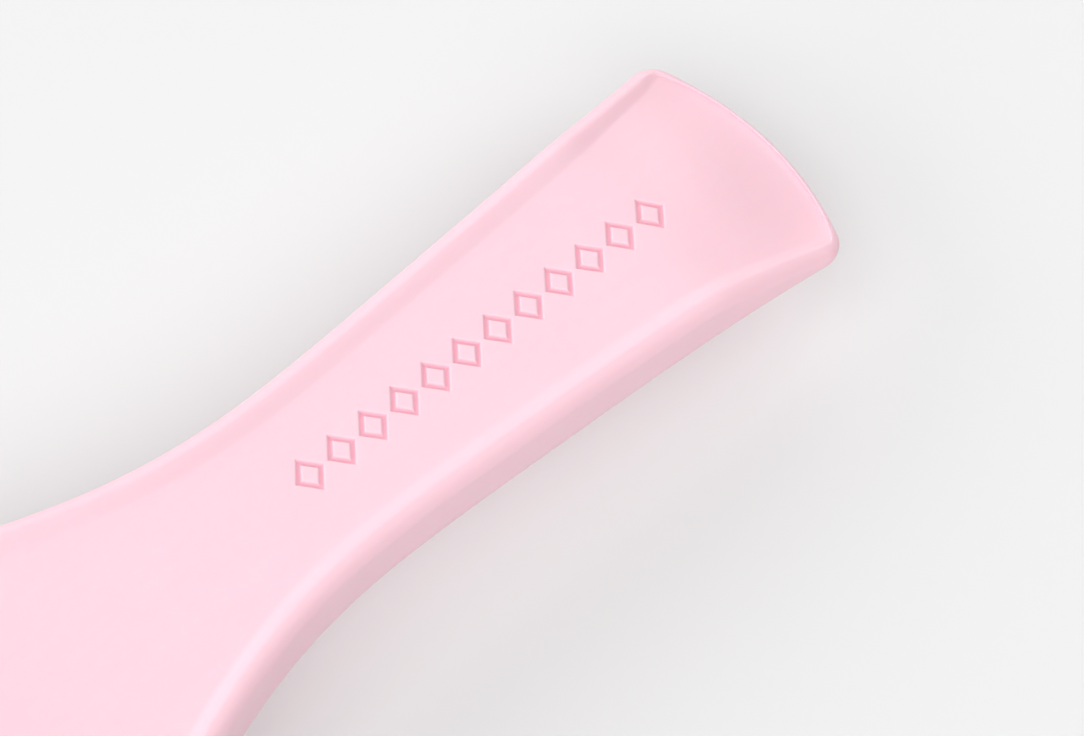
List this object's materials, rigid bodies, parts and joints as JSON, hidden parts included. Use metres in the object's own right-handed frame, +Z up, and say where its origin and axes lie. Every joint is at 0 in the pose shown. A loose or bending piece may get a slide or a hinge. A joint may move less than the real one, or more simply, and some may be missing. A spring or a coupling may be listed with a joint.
{
  "type": "detangling hairbrush",
  "caption": "Paddle-headed detangling hairbrush: thin moulded back shell with a dished, ridged handle, a snap-in front moulding, and rows of flexing tapered teeth.",
  "frame": {"origin": "on the plane through the long teeth's tips, under the middle of the brush's length and width", "axes": "+X along the brush towards the handle's end, +Y across it, +Z up out of the back; the teeth point to -Z"},
  "size_m": [0.225, 0.0706, 0.0277],
  "materials": {
    "back_plastic": "satin moulded, fine texture",
    "front_plastic": "satin moulded",
    "tooth_plastic": "satin, slightly softer grade"
  },
  "bodies": {
    "body": {"back_shell": "back_plastic", "front_lid": "front_plastic"},
    "teeth_01": {"tooth_row_01": "tooth_plastic"},
    "teeth_02": {"tooth_row_02": "tooth_plastic"},
    "teeth_03": {"tooth_row_03": "tooth_plastic"},
    "teeth_04": {"tooth_row_04": "tooth_plastic"},
    "teeth_05": {"tooth_row_05": "tooth_plastic"},
    "teeth_06": {"tooth_row_06": "tooth_plastic"},
    "teeth_07": {"tooth_row_07": "tooth_plastic"},
    "teeth_08": {"tooth_row_08": "tooth_plastic"},
    "teeth_09": {"tooth_row_09": "tooth_plastic"},
    "teeth_10": {"tooth_row_10": "tooth_plastic"},
    "teeth_11": {"tooth_row_11": "tooth_plastic"},
    "teeth_12": {"tooth_row_12": "tooth_plastic"},
    "teeth_13": {"tooth_row_13": "tooth_plastic"},
    "teeth_14": {"tooth_row_14": "tooth_plastic"},
    "teeth_15": {"tooth_row_15": "tooth_plastic"}
  },
  "joints": [
    {"name": "row_01_flex", "type": "hinge", "parent": "body", "child": "teeth_01", "pos_m": [-0.05, -0.028, 0.014], "axis": [1, 0, 0], "range_deg": [-12, 12], "stiffness_Nm_per_rad": 0.2},
    {"name": "row_02_flex", "type": "hinge", "parent": "body", "child": "teeth_02", "pos_m": [-0.05, -0.024, 0.014], "axis": [1, 0, 0], "range_deg": [-12, 12], "stiffness_Nm_per_rad": 0.2},
    {"name": "row_03_flex", "type": "hinge", "parent": "body", "child": "teeth_03", "pos_m": [-0.05, -0.02, 0.014], "axis": [1, 0, 0], "range_deg": [-12, 12], "stiffness_Nm_per_rad": 0.2},
    {"name": "row_04_flex", "type": "hinge", "parent": "body", "child": "teeth_04", "pos_m": [-0.05, -0.016, 0.014], "axis": [1, 0, 0], "range_deg": [-12, 12], "stiffness_Nm_per_rad": 0.2},
    {"name": "row_05_flex", "type": "hinge", "parent": "body", "child": "teeth_05", "pos_m": [-0.05, -0.012, 0.014], "axis": [1, 0, 0], "range_deg": [-12, 12], "stiffness_Nm_per_rad": 0.2},
    {"name": "row_06_flex", "type": "hinge", "parent": "body", "child": "teeth_06", "pos_m": [-0.05, -0.008, 0.014], "axis": [1, 0, 0], "range_deg": [-12, 12], "stiffness_Nm_per_rad": 0.2},
    {"name": "row_07_flex", "type": "hinge", "parent": "body", "child": "teeth_07", "pos_m": [-0.05, -0.004, 0.014], "axis": [1, 0, 0], "range_deg": [-12, 12], "stiffness_Nm_per_rad": 0.2},
    {"name": "row_08_flex", "type": "hinge", "parent": "body", "child": "teeth_08", "pos_m": [-0.05, 0, 0.014], "axis": [1, 0, 0], "range_deg": [-12, 12], "stiffness_Nm_per_rad": 0.2},
    {"name": "row_09_flex", "type": "hinge", "parent": "body", "child": "teeth_09", "pos_m": [-0.05, 0.004, 0.014], "axis": [1, 0, 0], "range_deg": [-12, 12], "stiffness_Nm_per_rad": 0.2},
    {"name": "row_10_flex", "type": "hinge", "parent": "body", "child": "teeth_10", "pos_m": [-0.05, 0.008, 0.014], "axis": [1, 0, 0], "range_deg": [-12, 12], "stiffness_Nm_per_rad": 0.2},
    {"name": "row_11_flex", "type": "hinge", "parent": "body", "child": "teeth_11", "pos_m": [-0.05, 0.012, 0.014], "axis": [1, 0, 0], "range_deg": [-12, 12], "stiffness_Nm_per_rad": 0.2},
    {"name": "row_12_flex", "type": "hinge", "parent": "body", "child": "teeth_12", "pos_m": [-0.05, 0.016, 0.014], "axis": [1, 0, 0], "range_deg": [-12, 12], "stiffness_Nm_per_rad": 0.2},
    {"name": "row_13_flex", "type": "hinge", "parent": "body", "child": "teeth_13", "pos_m": [-0.05, 0.02, 0.014], "axis": [1, 0, 0], "range_deg": [-12, 12], "stiffness_Nm_per_rad": 0.2},
    {"name": "row_14_flex", "type": "hinge", "parent": "body", "child": "teeth_14", "pos_m": [-0.05, 0.024, 0.014], "axis": [1, 0, 0], "range_deg": [-12, 12], "stiffness_Nm_per_rad": 0.2},
    {"name": "row_15_flex", "type": "hinge", "parent": "body", "child": "teeth_15", "pos_m": [-0.05, 0.028, 0.014], "axis": [1, 0, 0], "range_deg": [-12, 12], "stiffness_Nm_per_rad": 0.2}
  ]
}
